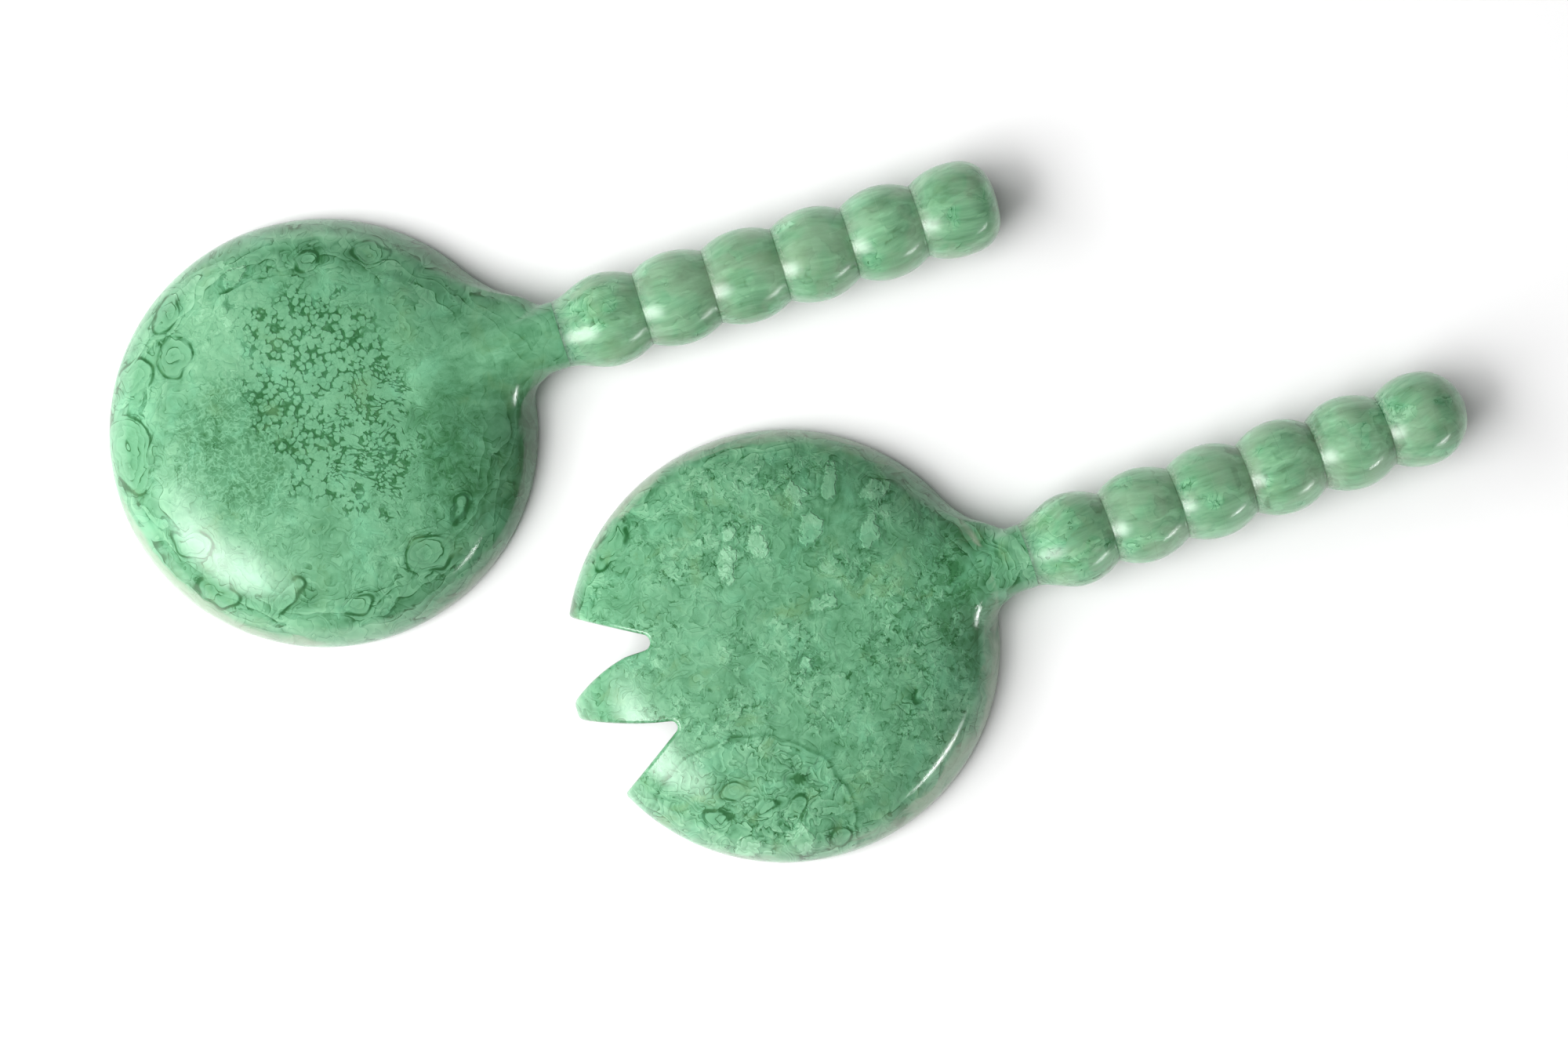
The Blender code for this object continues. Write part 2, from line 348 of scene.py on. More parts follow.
def fillet_radius(server, x, y, z):
    """The fillet's radius, which changes round the bar and fades out towards the seam."""
    across = y - server.handle_offset
    height = z - server.bead_radius
    upward = np.maximum(height, 0.0) / np.maximum(np.hypot(across, height), 1e-6)
    side = np.clip(across / server.neck_radius, -1, 1) / 2 + 0.5
    radius = server.fillet_tight + (server.fillet_wide - server.fillet_tight) * side
    radius = radius + (FILLET_TOP - radius) * upward
    fade = np.clip((SEAM_X - x) / FILLET_FADE, 0, 1)
    return FILLET_LEAST + radius * fade * (2 - fade)


def blank_distance(server, x, y, z):
    """Dome and bar joined by a round fillet."""
    dome = dome_form(x, y, z, server.head_radius, HEAD_HEIGHT, DOME_POWER)
    bar = neck_distance(server, x, y, z)
    radius = fillet_radius(server, x, y, z)
    corner = np.hypot(np.maximum(radius - dome, 0.0), np.maximum(radius - bar, 0.0))
    return np.maximum(radius, np.minimum(dome, bar)) - corner


def hand_wave(server, x, y, z):
    """The slight unevenness of hand finishing, with none of it at the table."""
    phase = server.head_phase
    wave = np.sin(210 * x + 90 * y + phase) * np.sin(-70 * x + 190 * y + 2 * phase)
    wave = wave + 0.5 * np.sin(430 * x - 260 * y + 300 * z + phase)
    return HAND_WAVE * wave * np.clip(z / WAVE_FADE, 0, 1)


def notch_outline(side, root_radius, bow):
    """One notch beside the middle tine: a straight side, a round root and a bowed side."""
    corner_x, corner_y = OUTER_TINE_CORNER
    slope = (corner_y - NOTCH_ROOT_Y - root_radius) / (corner_x - NOTCH_ROOT_X)
    outline = [(NOTCH_END_X, corner_y + slope * (NOTCH_END_X - corner_x))]
    for i in range(ROOT_POINTS + 1):
        angle = math.radians(ROOT_FIRST_ANGLE - ROOT_SWEEP * i / ROOT_POINTS)
        x = NOTCH_ROOT_X + root_radius * math.cos(angle)
        outline.append((x, NOTCH_ROOT_Y + root_radius * math.sin(angle)))
    last_y = outline[-1][1]
    for i in range(1, NOTCH_POINTS + 1):
        x = NOTCH_ROOT_X + (NOTCH_END_X - NOTCH_ROOT_X) * i / NOTCH_POINTS
        along = (x - NOTCH_ROOT_X) / (TINE_TIP_X - NOTCH_ROOT_X)
        half = TINE_ROOT_HALF - (TINE_ROOT_HALF - TINE_TIP_HALF) * along**bow
        outline.append((x, min(half, last_y)))
    return np.array([(x, side * y) for x, y in outline])


def outline_distance(outline, x, y):
    """How far points of the plan are from a closed outline, less than none inside it."""
    nearest = np.full(x.shape, 1.0)
    inside = np.zeros(x.shape, bool)
    for (ax, ay), (bx, by) in zip(outline, np.roll(outline, -1, axis=0)):
        ex, ey = bx - ax, by - ay
        share = np.clip(((x - ax) * ex + (y - ay) * ey) / (ex**2 + ey**2), 0, 1)
        nearest = np.minimum(nearest, np.hypot(x - ax - share * ex, y - ay - share * ey))
        if ay != by:
            crosses = (ay > y) != (by > y)
            inside ^= crosses & (x < ax + (y - ay) * ex / ey)
    return np.where(inside, -nearest, nearest)


def head_distance(server, x, y, z):
    """About how far a point is outside the finished head casting."""
    blank = blank_distance(server, x, y, z) + hand_wave(server, x, y, z)
    bowl = dome_form(x, y, z, server.head_radius - WALL, HEAD_HEIGHT - WALL, BOWL_POWER)
    solid = round_intersection(RIM_EDGE, blank, -bowl, -z)
    for side, root_radius, bow in server.notches:
        across = y - server.handle_offset
        near = (x < NOTCH_ROOT_X + NOTCH_NEAR_X) & (side * across > -NOTCH_NEAR_Y)
        notch = np.full(x.shape, 1.0)
        outline = notch_outline(side, root_radius, bow)
        notch[near] = outline_distance(outline, x[near], across[near])
        solid = round_intersection(TINE_EDGE, solid, -notch)
    solid = round_intersection(SEAM_EDGE, solid, x - SEAM_X)
    across = np.hypot(y - server.handle_offset, z - server.bead_radius)
    socket = np.maximum(
        across - SPIGOT_RADIUS - SOCKET_CLEARANCE, SEAM_X - SPIGOT_LENGTH - x
    )
    return np.maximum(solid, -socket)


# Meshing --------------------------------------------------------------------------------------


def cells_round(edges, b, c):
    """The four grid cells round each edge of the grid, in turn."""
    for back_b, back_c in ((0, 0), (1, 0), (1, 1), (0, 1)):
        cell = edges.copy()
        cell[:, b] -= back_b
        cell[:, c] -= back_c
        yield tuple(cell.T)


def surface_net(distance, low, high, step):
    """Points and outward quads on a form's surface, a point to each grid cell that it crosses."""
    axes = [np.arange(a - 2 * step, b + 3 * step, step) for a, b in zip(low, high)]
    value = distance(*np.meshgrid(*axes, indexing="ij"))
    cells = tuple(n - 1 for n in value.shape)
    total = np.zeros((*cells, 3))
    count = np.zeros(cells)
    crossings = []
    for a in range(3):
        b, c = (a + 1) % 3, (a + 2) % 3
        first = np.take(value, np.arange(cells[a]), axis=a)
        second = np.take(value, np.arange(1, cells[a] + 1), axis=a)
        where = np.argwhere((first < 0) != (second < 0))
        here = tuple(where.T)
        point = where.astype(float)
        point[:, a] += first[here] / (first[here] - second[here])
        for cell in cells_round(where, b, c):
            np.add.at(total, cell, point)
            np.add.at(count, cell, 1)
        crossings.append((where, b, c, first[here] < 0))
    used = count > 0
    number = np.full(cells, -1)
    number[used] = np.arange(used.sum())
    points = total[used] / count[used][:, None] * step + [axis[0] for axis in axes]
    quads = []
    for where, b, c, outward in crossings:
        quad = np.stack([number[cell] for cell in cells_round(where, b, c)], axis=1)
        quads.append(np.where(outward[:, None], quad, quad[:, ::-1]))
    return points, np.concatenate(quads)


def slope_of(distance, points):
    """The distance's gradient at each point."""
    columns = []
    for a in range(3):
        offset = np.zeros(3)
        offset[a] = SLOPE_REACH
        more = distance(*(points + offset).T)
        less = distance(*(points - offset).T)
        columns.append((more - less) / (2 * SLOPE_REACH))
    return np.stack(columns, axis=1)


def settle(distance, points, step):
    """Moves points onto the surface."""
    for _ in range(SETTLE_ROUNDS):
        slope = slope_of(distance, points)
        value = distance(*points.T)
        move = slope * (value / np.maximum((slope**2).sum(1), 0.05))[:, None]
        size = np.linalg.norm(move, axis=1, keepdims=True)
        points = points - move * np.minimum(1, 0.5 * step / np.maximum(size, 1e-12))
    return points


def relaxed(points, quads, normals):
    """Points drawn halfway towards their neighbours' middle, along the surface."""
    total = np.zeros_like(points)
    count = np.zeros(len(points))
    for i in range(4):
        here, there = quads[:, i], quads[:, (i + 1) % 4]
        np.add.at(total, here, points[there])
        np.add.at(total, there, points[here])
        np.add.at(count, here, 1)
        np.add.at(count, there, 1)
    move = 0.5 * (total / count[:, None] - points)
    return points + move - normals * (move * normals).sum(1, keepdims=True)


def unit(vectors):
    return vectors / np.maximum(np.linalg.norm(vectors, axis=1, keepdims=True), 1e-12)


def mesh_object(name, points, faces, normals):
    """A smooth mesh object, with the surface's own normals where they are given."""
    mesh = bpy.data.meshes.new(name)
    mesh.from_pydata(points.tolist(), [], faces)
    mesh.shade_smooth()
    if normals is not None:
        mesh.normals_split_custom_set_from_vertices(normals.tolist())
    mesh.update()
    obj = bpy.data.objects.new(name, mesh)
    bpy.context.scene.collection.objects.link(obj)
    return obj


def add_field(obj, name, values):
    """Keeps one number for each point, for the material to read."""
    field = obj.data.attributes.new(name, "FLOAT", "POINT")
    field.data.foreach_set("value", np.asarray(values, np.float32))


def head_mesh(server):
    """Points, quads and normals of the whole head casting."""

    def distance(x, y, z):
        return head_distance(server, x, y, z)

    low = (-server.head_radius, -server.head_radius, 0.0)
    high = (SEAM_X, server.head_radius, HEAD_HEIGHT)
    points, quads = surface_net(distance, low, high, HEAD_STEP)
    for _ in range(RELAX_ROUNDS):
        points = settle(distance, points, HEAD_STEP)
        points = relaxed(points, quads, unit(slope_of(distance, points)))
    points = settle(distance, points, HEAD_STEP)
    normals = unit(slope_of(distance, points))
    sharpen_seam(server, points, normals)
    return points, quads, normals


def sharpen_seam(server, points, normals):
    """Moves the points next to the neck's end edge onto that edge, so that the seam stays fine."""
    out = points[:, 1:] - (server.handle_offset, server.bead_radius)
    across = np.hypot(out[:, 0], out[:, 1])
    reach = 0.7 * HEAD_STEP
    near = (points[:, 0] > SEAM_X - reach) & (np.abs(across - server.neck_radius) < reach)
    outward = out[near] / across[near, None]
    points[near, 0] = SEAM_X
    points[near, 1:] = (server.handle_offset, server.bead_radius) + outward * server.neck_radius
    normals[near, 0] = 0.0
    normals[near, 1:] = outward


def handle_rows(server):
    """(x, radius, distance past the nearest crease) down the handle, from the seam to its end."""
    draws = np.random.default_rng(server.crease_seed)
    change = draws.uniform(-CREASE_VARIATION, CREASE_VARIATION, BEAD_COUNT)
    creases = server.crease_radius + change
    half = server.bead_pitch / 2
    seam = SEAM_X + SEAM_GAP
    rows = []
    neck = server.first_bead - seam
    for i in range(ROWS_PER_BEAD // 2):
        share = i / (ROWS_PER_BEAD // 2)
        rise = ((1 - math.cos(math.pi * share)) / 2) ** NECK_RISE_POWER
        radius = server.neck_radius + (server.bead_radius - server.neck_radius) * rise
        rows.append((seam + neck * share, radius, -half))
    for bead in range(BEAD_COUNT - 1):
        drop = server.bead_radius - creases[bead]
        arc = (half**2 + drop**2) / (2 * drop)
        for i in range(ROWS_PER_BEAD):
            along = server.bead_pitch * i / ROWS_PER_BEAD
            away = abs(along - half)
            inner = half - math.sqrt(away**2 + CREASE_EDGE**2)
            radius = server.bead_radius - arc + math.sqrt(arc**2 - inner**2)
            x = server.first_bead + bead * server.bead_pitch + along
            rows.append((x, radius, along - half))
    last = server.first_bead + (BEAD_COUNT - 1) * server.bead_pitch
    for i in range(ROWS_PER_BEAD + 1):
        angle = math.pi / 2 * (i / ROWS_PER_BEAD) ** END_ROW_SPREAD
        radius = server.bead_radius * max(math.cos(angle), 0.0) ** (2 / server.end_power)
        along = server.end_length * math.sin(angle) ** (2 / server.end_power)
        rows.append((last + along, radius, half))
    return rows


def handle_mesh(server):
    """(points, faces, distances past a crease) of the beaded bar, ringed from its spigot's foot."""
    seam = SEAM_X + SEAM_GAP
    foot = seam - SPIGOT_LENGTH + SOCKET_CLEARANCE
    start = [
        (foot, 0.0, NO_CREASE),
        (foot, SPIGOT_RADIUS - SPIGOT_EDGE, NO_CREASE),
        (foot + SPIGOT_EDGE, SPIGOT_RADIUS, NO_CREASE),
        (seam, SPIGOT_RADIUS, NO_CREASE),
        (seam, server.neck_radius - SEAM_EDGE, NO_CREASE),
        (seam + 0.3 * SEAM_EDGE, server.neck_radius - 0.3 * SEAM_EDGE, NO_CREASE),
    ]
    (first_x, *first), *rows = handle_rows(server)
    table = np.array([*start, (first_x + SEAM_EDGE, *first), *rows])
    x, radius, crease = table.T
    turn = np.arange(HANDLE_SIDES) * 2 * math.pi / HANDLE_SIDES
    beyond = np.clip((x - seam) / server.bead_pitch, 0, 1)[:, None]
    wave = np.sin(250 * x[:, None] + turn + server.handle_phase)
    wave = wave * np.sin(2 * turn - 130 * x[:, None])
    dent = HAND_WAVE * beyond * (wave - 1)
    wide = radius[:, None] > SMALLEST_DENTED
    ring = np.maximum(radius[:, None] + dent * wide, 0.0)
    ring[0] = 0.0
    ring[-1] = 0.0
    y = server.handle_offset + ring * np.cos(turn)
    z = server.bead_radius + ring * np.sin(turn)
    grid = np.stack([np.repeat(x[:, None], HANDLE_SIDES, 1), y, z], axis=2)
    inner = grid[1:-1].reshape(-1, 3)
    points = np.concatenate([inner, grid[:1, 0], grid[-1:, 0]])
    across = np.concatenate([np.repeat(crease[1:-1], HANDLE_SIDES), crease[[0, -1]]])
    faces = []
    count = len(table) - 2
    for i in range(count - 1):
        for j in range(HANDLE_SIDES):
            k = (j + 1) % HANDLE_SIDES
            a, b = i * HANDLE_SIDES, (i + 1) * HANDLE_SIDES
            faces.append((a + j, a + k, b + k, b + j))
    foot_point, tip_point = len(inner), len(inner) + 1
    last = (count - 1) * HANDLE_SIDES
    for j in range(HANDLE_SIDES):
        k = (j + 1) % HANDLE_SIDES
        faces.append((foot_point, k, j))
        faces.append((tip_point, last + j, last + k))
    return points, faces, across


# Patterns --------------------------------------------------------------------------------------


def ellipse(x, y, centre, half, turn):
    """None at an ellipse's centre and 1 on its edge, in plan. Lengths are in millimetres."""
    c, s = math.cos(math.radians(turn)), math.sin(math.radians(turn))
    dx, dy = x - centre[0], y - centre[1]
    return np.hypot((dx * c + dy * s) / half[0], (dy * c - dx * s) / half[1])


def lobe_distance(x, y, lobes):
    """How far a point of the plan is outside the nearest lobe of opaque pigment."""
    nearest = np.full(x.shape, 9.0)
    for centre, half, turn in lobes:
        out = (ellipse(x, y, centre, half, turn) - 1) * min(half)
        nearest = np.minimum(nearest, out)
    return nearest


def region(x, y, centre, half, turn=0):
    """1 in the middle of an elliptical region, a half on its edge and none well outside it."""
    return np.clip(1.5 - ellipse(x, y, centre, half, turn), 0, 1)


def sparse_rim(server, x, y):
    """How sparse the pigment is towards the rim, from none to 1."""
    edge = server.head_radius / MM
    outward = np.hypot(x, y) - edge
    share = np.clip((outward + 8) / 8, 0, 1) * np.clip(1 - outward / 2, 0, 1)
    return share * rim_strength(server, np.degrees(np.arctan2(y, x)))


def rim_strength(server, angle):
    """How strongly the pigment thins out at the rim, by the angle round the head in degrees."""
    strength = np.full(angle.shape, server.rim_least)
    for middle, spread, amount in server.rim_windows:
        away = np.abs((angle - middle + 180) % 360 - 180) / spread
        strength = np.maximum(strength, amount * np.clip(1.6 - away, 0, 1))
    return strength


def add_head_fields(obj, server, points):
    """Keeps where each kind of pigment is, and where shade is painted, for the head's marbling to
    read.
    """
    x, y = points[:, 0] / MM, points[:, 1] / MM
    add_field(obj, "eye", lobe_distance(x, y, server.eyes))
    add_field(obj, "clot", lobe_distance(x, y, server.clots))
    add_field(obj, "pour", ellipse(x, y, *server.pour))
    for name in ("pale", "grain", "fine", "net", "calm", "shaded_side"):
        add_field(obj, name, region(x, y, *getattr(server, f"{name}_region")))
    add_field(obj, "sparse", sparse_rim(server, x, y))
    inwards = server.head_radius / MM - np.hypot(x, y)
    add_field(obj, "rim", np.clip(1 - inwards / server.rim_width, 0, 1))


class Pattern:
    """Adds nodes to one material. Each method returns an output that others can take."""

    def __init__(self, name, shift):
        self.shift = shift
        self.material = bpy.data.materials.new(name)
        self.material.use_nodes = True
        self.tree = self.material.node_tree
        self.shader = self.tree.nodes["Principled BSDF"]
        coordinates = self.tree.nodes.new("ShaderNodeTexCoord")
        self.place = self.scaled(coordinates.outputs["Object"], (1 / MM, 1 / MM, 1 / MM))

    def feed(self, socket, value):
        if isinstance(value, bpy.types.NodeSocket):
            self.tree.links.new(value, socket)
        else:
            socket.default_value = value

    def set_shader(self, name, value):
        self.feed(self.shader.inputs[name], value)

    def node(self, kind, inputs, **settings):
        """The outputs of a new node, made with these settings and fed these inputs."""
        node = self.tree.nodes.new(f"ShaderNode{kind}")
        for name, value in settings.items():
            setattr(node, name, value)
        for name, value in inputs.items():
            self.feed(node.inputs[name], value)
        return node.outputs

    def math(self, operation, a, b=0.0):
        return self.node("Math", {0: a, 1: b}, operation=operation)[0]

    def add(self, *values):
        total = values[0]
        for value in values[1:]:
            total = self.math("ADD", total, value)
        return total

    def times(self, *values):
        product = values[0]
        for value in values[1:]:
            product = self.math("MULTIPLY", product, value)
        return product

    def without(self, value, share=1.0):
        """1 less a share of a value."""
        return self.math("SUBTRACT", 1.0, self.times(value, share))

    def length(self, x, y):
        return self.math("SQRT", self.add(self.times(x, x), self.times(y, y)))

    def vector(self, operation, a, b):
        return self.node("VectorMath", {0: a, 1: b}, operation=operation)[0]

    def scaled(self, vector, factors):
        return self.vector("MULTIPLY", vector, factors)

    def turned(self, vector, angle):
        """The place turned in plan by an angle in degrees."""
        inputs = {"Vector": vector, "Angle": math.radians(angle)}
        return self.node("VectorRotate", inputs, rotation_type="Z_AXIS")[0]

    def parts(self, vector):
        """The x, y and z of a place."""
        return self.node("SeparateXYZ", {0: vector})

    def joined(self, x, y):
        """The place with this x and y, at z = 0."""
        return self.node("CombineXYZ", {0: x, 1: y})[0]

    def shifted(self, vector, size):
        """What a texture node takes for a pattern about size millimetres across."""
        return {"Vector": self.vector("ADD", vector, self.shift), "Scale": 1 / size}

    def noise(self, vector, size, detail=1.0, roughness=0.5, output="Fac"):
        """Smooth noise about a half."""
        inputs = {**self.shifted(vector, size), "Detail": detail, "Roughness": roughness}
        return self.node("TexNoise", inputs)[output]

    def cells(self, vector, size, feature, output="Distance", metric="EUCLIDEAN"):
        inputs = self.shifted(vector, size)
        return self.node("TexVoronoi", inputs, feature=feature, distance=metric)[output]

    def warped(self, vector, size, reach, detail=1.0):
        """The place pushed about by up to half of reach, over distances of size."""
        push = self.noise(vector, size, detail, output="Color")
        push = self.vector("SUBTRACT", push, (0.5, 0.5, 0.5))
        return self.vector("ADD", vector, self.scaled(push, (reach, reach, reach)))

    def step(self, value, zero, one):
        """0 where a value is at zero or past it, 1 where it is at one, and smooth between."""
        inputs = {"Value": value, "From Min": zero, "From Max": one}
        return self.node("MapRange", inputs, interpolation_type="SMOOTHSTEP")["Result"]

    def field(self, name):
        """One of the numbers that add_field keeps for each point."""
        return self.node("Attribute", {}, attribute_name=name)["Fac"]

    def mix(self, share, a, b):
        return self.node("Mix", {0: share, 6: a, 7: b}, data_type="RGBA")[2]

    def ramp(self, value, stops):
        """Colours along a value, from (place, colour) pairs."""
        node = self.tree.nodes.new("ShaderNodeValToRGB")
        points = node.color_ramp.elements
        while len(points) < len(stops):
            points.new(0.5)
        for point, (place, colour) in zip(points, stops):
            point.position = place
            point.color = colour
        self.feed(node.inputs[0], value)
        return node.outputs[0]

    def centred(self, value, amount):
        """A value about a half, made one about none."""
        return self.times(self.math("SUBTRACT", value, 0.5), amount)

    def terraces(self, height, steps, width):
        """(a rise from 0 to 1 on each terrace, a thin line at the foot of each drop)."""
        rise = self.math("FRACT", self.times(height, steps))
        return rise, self.step(rise, width, 0.0)

    def bump(self, height, distance):
        return self.node("Bump", {"Height": height, "Distance": distance})["Normal"]


def from_screen(red, green, blue):
    """A linear colour from one given as it looks on a screen, 0 to 255."""
    linear = []
    for value in (red, green, blue):
        value = value / 255
        linear.append(value / 12.92 if value <= 0.04045 else ((value + 0.055) / 1.055) ** 2.4)
    return (*linear, 1.0)


# Mint resin from its darkest gaps to its brightest pigment, and the clear resin round it.
MINT = (
    (0.00, from_screen(30, 82, 42)),
    (0.20, from_screen(48, 101, 61)),
    (0.40, from_screen(73, 126, 90)),
    (0.55, from_screen(90, 143, 107)),
    (0.75, from_screen(108, 159, 123)),
    (1.00, from_screen(132, 180, 145)),
)
HEAD_TONE = 0.55
HANDLE_TONE = 0.58
CLEAR = from_screen(138, 152, 132)
FROSTED = from_screen(190, 204, 184)
OLIVE = from_screen(92, 134, 90)
BLUISH = from_screen(100, 164, 128)


class Marbling(Pattern):
    """Pigment in clear resin. Layers change its tone, a place along MINT, and its relief."""

    def __init__(self, name, shift, tone):
        super().__init__(name, shift)
        self.first_tone = tone
        self.tone = tone
        self.relief = 0.0

    def lighten(self, *factors):
        """Adds the factors' product to the tone. One below none darkens it."""
        self.tone = self.add(self.tone, self.times(*factors))

    def lift(self, *factors):
        """Adds the factors' product to the relief."""
        self.relief = self.add(self.relief, self.times(*factors))

    def quieten(self, share):
        """Keeps only a share of the relief, and of how far the tone is from its first one."""
        away = self.add(self.tone, -self.first_tone)
        self.tone = self.add(self.times(away, share), self.first_tone)
        self.relief = self.times(self.relief, share)

    def hues(self, colour, place, olive):
        """Drifts a colour towards olive in some places and towards blue in others."""
        hue = self.noise(place, 11, 3.0, 0.6)
        colour = self.mix(self.times(self.step(hue, 0.46, 0.26), 0.9 * olive), colour, OLIVE)
        return self.mix(self.times(self.step(hue, 0.52, 0.74), 0.40), colour, BLUISH)

    def finish(self, colour, relief_height, sanding, sanding_depth, coat_roughness):
        """Opaque pigment with its own relief, under a smooth clear skin with fine sanding marks."""
        marks = self.noise(self.scaled(self.place, sanding), 1.0, 2.0)
        self.set_shader("Base Color", colour)
        self.set_shader("Normal", self.bump(self.relief, relief_height))
        self.set_shader("Roughness", 0.5)
        self.set_shader("Specular IOR Level", 0.15)
        self.set_shader("Coat Weight", 0.85)
        self.set_shader("Coat Roughness", coat_roughness)
        self.set_shader("Coat IOR", 1.5)
        self.set_shader("Coat Normal", self.bump(marks, sanding_depth))
        return self.material


class HeadMarbling(Marbling):
    """A head's marbling, with a method for each kind of pigment."""

    def __init__(self, server):
        super().__init__(f"{server.name}_head_resin", server.pattern_shift, HEAD_TONE)
        self.server = server

        # Places pushed about, so that the patterns on them swirl, curl or crumble.
        self.flat = self.scaled(self.place, (1, 1, 0.4))
        self.swirled = self.warped(self.flat, 16, 24, 2.0)
        self.curled = self.warped(self.warped(self.flat, 6.5, 9), 2.2, 2.2)
        self.crumbled = self.warped(self.warped(self.flat, 2.6, 2.6), 0.9, 0.7)
        self.along_rim = self.warped(self.round_place(), 3.0, 2.6)

        # Where the kinds of pigment are, with ragged edges.
        self.ragged = self.centred(self.noise(self.flat, 7, 2.0), 1.0)
        self.broken = self.step(self.noise(self.flat, 3.0, 2.0), 0.47, 0.60)
        self.patchy = self.step(self.noise(self.warped(self.flat, 8, 12), 15, 2.0), 0.40, 0.60)
        calm = self.add(self.field("calm"), self.times(self.ragged, 0.5))
        self.calm = self.step(calm, 0.0, 1.0)
        self.busy = self.without(self.calm, 0.7)
        rim = self.add(self.field("rim"), self.times(self.ragged, 0.9))
        self.rim = self.times(self.step(rim, 0.30, 0.62), self.busy)
        pour_edge = self.centred(self.noise(self.flat, 8, 1.0), 0.14)
        self.pour = self.add(self.field("pour"), pour_edge)
        self.poured = self.step(self.pour, 1.03, 0.97)

    def round_place(self):
        """Places laid out round the head, for patterns along its rim. They part at the neck."""
        x, y, z = self.parts(self.warped(self.place, 9, 9))
        angle = self.math("ARCTAN2", self.times(y, -1.0), self.times(x, -1.0))
        return self.joined(
            self.add(self.length(x, y), self.times(z, -0.6)), self.times(angle, 16.0)
        )

    def fan_place(self):
        """Places laid out as a fan, for patterns that run out from near the head's middle."""
        x, y, _ = self.parts(self.warped(self.place, 5, 3))
        y = self.add(y, -self.server.handle_offset / MM)
        x = self.add(x, -8.0)
        angle = self.math("ARCTAN2", y, x)
        return self.joined(self.times(angle, 14.0), self.times(self.length(x, y), 0.09))

    def clouds(self):
        """Broad clouds of lighter and darker pigment."""
        self.lighten(self.centred(self.noise(self.swirled, 15, 3.0, 0.55), 0.62))
        self.lighten(self.centred(self.noise(self.curled, 4.0, 2.0, 0.6), 0.30))
        self.lighten(self.field("pale"), self.server.pale_lift)

    def long_streaks(self):
        """Long faint streaks across the head."""
        across = self.scaled(self.turned(self.warped(self.flat, 14, 9), 69), (0.28, 1.0, 1.0))
        streak = self.centred(self.noise(across, 4.5, 3.0, 0.6), self.server.streaks)
        self.lighten(streak, self.add(0.3, self.times(self.patchy, 0.7)))

    def folded_sheets(self):
        """Folded sheets of pigment: a lighter edge on each, and a dark broken line beside it."""
        fold, line = self.terraces(self.noise(self.curled, 7.0, 1.5, 0.45), 9.0, 0.2)
        at_rim = self.times(self.rim, 0.3 * self.server.fold)
        share = self.add(self.server.fold, at_rim, self.times(self.poured, 0.6))
        share = self.times(self.busy, share)
        self.lighten(self.centred(fold, 0.24), share)
        self.lighten(line, self.broken, share, -0.36)
        self.lift(fold, share, 0.25)

    def crumbs(self):
        """Pale flakes of two sizes with a dark crack along part of their edges, and grit."""
        share = self.add(0.25, self.times(self.patchy, 0.75))
        share = self.times(self.busy, self.without(self.rim), share, self.server.crumble)
        cracked = self.step(self.noise(self.flat, 1.9, 2.0), 0.48, 0.62)
        for size, low in ((6.5, 0.50), (2.5, 0.52)):
            height = self.noise(self.crumbled, size, 3.0, 0.6)
            flake = self.step(height, low, low + 0.05)
            outside = self.step(height, low - 0.035, low)
            inside = self.step(height, low + 0.015, low)
            self.lighten(self.add(flake, -0.5), share, 0.15)
            self.lighten(outside, inside, cracked, share, -0.36)
            self.lift(flake, share, 0.15)
        grit = self.noise(self.crumbled, 0.8, 2.0, 0.6)
        self.lighten(self.centred(grit, 0.24), share)

    def rim_bands(self):
        """Bands of pigment that run round the rim, folded over each other, and painted shade on the
        side of the head turned from the lamps.
        """
        band, line = self.terraces(self.noise(self.along_rim, 13.0, 0.8, 0.4), 7.0, 0.14)
        self.lighten(self.centred(band, 0.24), self.rim)
        self.lighten(line, self.rim, self.broken, -0.50)
        patches = self.centred(self.noise(self.along_rim, 8.0, 3.0), 0.8)
        self.lighten(patches, self.rim)
        # Painted shade: darkens the side of the head turned from the lamps.
        self.lighten(self.field("shaded_side"), -0.26)
        self.lift(band, self.rim, 0.3)

    def neck_fan(self):
        """Soft streaks that fan out towards the neck."""
        fan = self.centred(self.noise(self.fan_place(), 1.0, 3.0, 0.6), 0.55)
        self.lighten(fan, self.calm)
        self.lighten(self.calm, -0.05)

    def pour_line(self):
        """The line where a second pour of resin met the first."""
        meeting = self.times(self.step(self.pour, 0.98, 1.0), self.step(self.pour, 1.05, 1.0))
        self.lighten(self.poured, 0.05)
        self.lighten(meeting, -0.24)

    def grains(self):
        """Pale clots that run together, faint outlines, and dark sunken gaps where they lie
        loosely.
        """
        grainy = self.step(self.add(self.field("grain"), self.ragged), 0.28, 0.55)
        fine = self.step(self.add(self.field("fine"), self.ragged), 0.30, 0.60)
        drawn = self.scaled(self.turned(self.warped(self.flat, 9, 10), 38), (0.55, 1.0, 1.0))
        drawn = self.warped(drawn, 1.2, 0.9)
        rounded = self.warped(self.flat, 2.4, 0.9, 0.0)
        middle, edge = (
            self.mix(fine, self.cells(rounded, 1.7, feature), self.cells(drawn, 1.05, feature))
            for feature in ("F1", "DISTANCE_TO_EDGE")
        )
        loose = self.step(self.noise(self.warped(self.flat, 3, 4), 4.0, 3.0, 0.6), 0.36, 0.60)
        reach = self.math("SUBTRACT", 0.80, self.times(loose, 0.30))
        gap = self.step(self.math("SUBTRACT", middle, reach), -0.06, 0.08)
        outline = self.times(self.step(edge, 0.16, 0.04), self.add(0.2, self.times(loose, 0.8)))
        self.quieten(self.without(grainy, 0.6))
        self.lighten(grainy, 0.06)
        self.lighten(grainy, loose, -0.05)
        self.lighten(grainy, gap, -0.32)
        self.lighten(grainy, outline, -0.18)
        self.lift(gap, grainy, -0.25)

